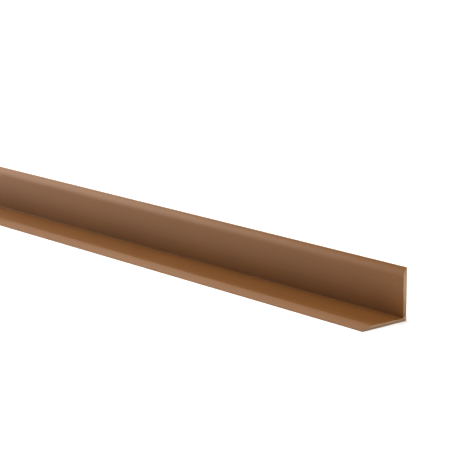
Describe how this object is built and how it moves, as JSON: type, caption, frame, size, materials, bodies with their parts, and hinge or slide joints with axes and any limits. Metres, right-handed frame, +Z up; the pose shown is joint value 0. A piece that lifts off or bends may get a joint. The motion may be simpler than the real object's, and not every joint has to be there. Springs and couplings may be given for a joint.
{
  "type": "flexible skirting board",
  "caption": "Straight length of soft L-section skirting: an upright that rolls over to a thin lip against the wall, and a floor foot that ends in a bevelled toe.",
  "frame": {"origin": "on the floor at mid-length, midway between the wall face and the toe", "axes": "+X along the strip, +Y towards the wall that it is fixed to, +Z up"},
  "size_m": [1, 0.028, 0.025],
  "materials": {
    "soft_pvc": "satin"
  },
  "bodies": {
    "root": {"skirting_strip": "soft_pvc"}
  },
  "joints": []
}
